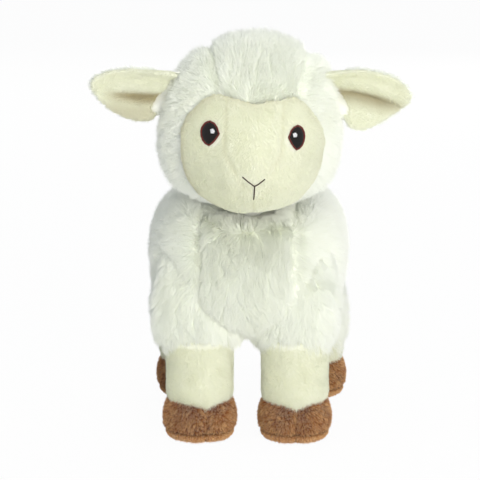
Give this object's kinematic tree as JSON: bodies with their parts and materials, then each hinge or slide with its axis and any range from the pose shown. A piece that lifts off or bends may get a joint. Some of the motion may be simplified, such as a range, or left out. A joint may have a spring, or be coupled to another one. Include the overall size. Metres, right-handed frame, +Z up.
{
  "type": "plush sheep",
  "caption": "Standing plush lamb with a fluffy wool coat, cream velour face and shins, brown hooves and stitched eyes and mouth.",
  "frame": {"origin": "on the floor, below the middle of the sheep's box", "axes": "+Z up, the face looks along -Y, and +X is on the right as seen from in front"},
  "size_m": [0.1869, 0.2036, 0.24],
  "materials": {
    "wool_plush": "long fluffy off-white pile",
    "cream_velour": "short soft cream pile",
    "hoof_plush": "short brown pile with a slight sheen",
    "sole_plush": "short light brown pile",
    "black_thread": "glossy satin stitch",
    "brown_thread": "glossy satin stitch",
    "white_thread": "satin stitch",
    "fibre_fill": "matte loose polyester fibre"
  },
  "bodies": {
    "body": {"chest_panel": "wool_plush", "belly_panel": "wool_plush", "body_side_left": "wool_plush", "body_side_right": "wool_plush", "body_stuffing": "fibre_fill", "front_left_leg_sleeve": "wool_plush", "front_left_shin": "cream_velour", "front_left_hoof": "hoof_plush", "front_left_sole": "sole_plush", "front_left_leg_stuffing": "fibre_fill", "front_right_leg_sleeve": "wool_plush", "front_right_shin": "cream_velour", "front_right_hoof": "hoof_plush", "front_right_sole": "sole_plush", "front_right_leg_stuffing": "fibre_fill", "back_left_leg_sleeve": "wool_plush", "back_left_shin": "cream_velour", "back_left_hoof": "hoof_plush", "back_left_sole": "sole_plush", "back_left_leg_stuffing": "fibre_fill", "back_right_leg_sleeve": "wool_plush", "back_right_shin": "cream_velour", "back_right_hoof": "hoof_plush", "back_right_sole": "sole_plush", "back_right_leg_stuffing": "fibre_fill"},
    "neck": {"neck_stuffing": "fibre_fill"},
    "head": {"crown_panel": "wool_plush", "head_side_left": "wool_plush", "head_side_right": "wool_plush", "face_centre_panel": "cream_velour", "cheek_left": "cream_velour", "cheek_right": "cream_velour", "head_stuffing": "fibre_fill", "nose_mouth_stitch": "black_thread", "eye_left_pupil": "black_thread", "eye_left_rim": "brown_thread", "eye_left_glint": "white_thread", "eye_right_pupil": "black_thread", "eye_right_rim": "brown_thread", "eye_right_glint": "white_thread"},
    "ear_left": {"ear_left_lining": "cream_velour", "ear_left_back": "wool_plush"},
    "ear_right": {"ear_right_lining": "cream_velour", "ear_right_back": "wool_plush"},
    "tail": {"tail": "wool_plush"}
  },
  "joints": [
    {"name": "head_nod", "type": "hinge", "parent": "body", "child": "neck", "pos_m": [0, -0.0423, 0.184], "axis": [1, 0, 0], "range_deg": [-10, 10], "stiffness_Nm_per_rad": 0.08},
    {"name": "head_turn", "type": "hinge", "parent": "neck", "child": "head", "pos_m": [0, -0.0423, 0.184], "axis": [0.0125, -0.3253, 0.9455], "range_deg": [-25, 25], "stiffness_Nm_per_rad": 0.05},
    {"name": "ear_left_swing", "type": "hinge", "parent": "head", "child": "ear_left", "pos_m": [-0.05334, -0.04735, 0.2025], "axis": [0.3253, 0.0125, 0.9455], "range_deg": [-35, 35], "stiffness_Nm_per_rad": 0.02},
    {"name": "ear_right_swing", "type": "hinge", "parent": "head", "child": "ear_right", "pos_m": [0.05158, -0.04332, 0.2025], "axis": [0.3253, 0.0125, -0.9455], "range_deg": [-35, 35], "stiffness_Nm_per_rad": 0.02},
    {"name": "tail_lift", "type": "hinge", "parent": "body", "child": "tail", "pos_m": [-0.0025, 0.0877, 0.121], "axis": [1, 0, 0], "range_deg": [0, 80], "stiffness_Nm_per_rad": 0.01}
  ]
}
